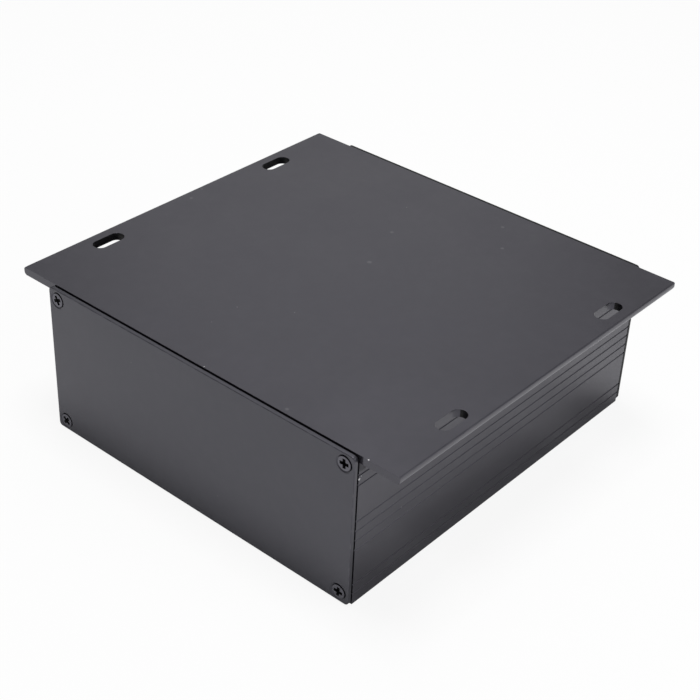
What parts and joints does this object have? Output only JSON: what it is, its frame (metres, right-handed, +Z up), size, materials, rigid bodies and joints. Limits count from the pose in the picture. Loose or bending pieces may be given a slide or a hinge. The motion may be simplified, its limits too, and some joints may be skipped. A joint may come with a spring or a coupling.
{
  "type": "aluminium project box",
  "caption": "Flanged wall-mount project box in black anodised aluminium: interlocking extruded half shells, grooved sides, slotted flanges and screwed flat end panels.",
  "frame": {"origin": "centre of the underside", "axes": "+X along the extrusion from the front panel to the rear panel, +Y across from flange to flange, +Z up to the flanged mounting face"},
  "size_m": [0.1642, 0.177, 0.062],
  "materials": {
    "shell": "black anodised, matte, fine lengthwise grain",
    "panel": "black anodised, matte",
    "screw": "black zinc, semi-gloss"
  },
  "bodies": {
    "root": {"upper_shell": "shell", "lower_shell": "shell", "front_panel": "panel", "rear_panel": "panel", "front_screws": "screw", "rear_screws": "screw"}
  },
  "joints": []
}
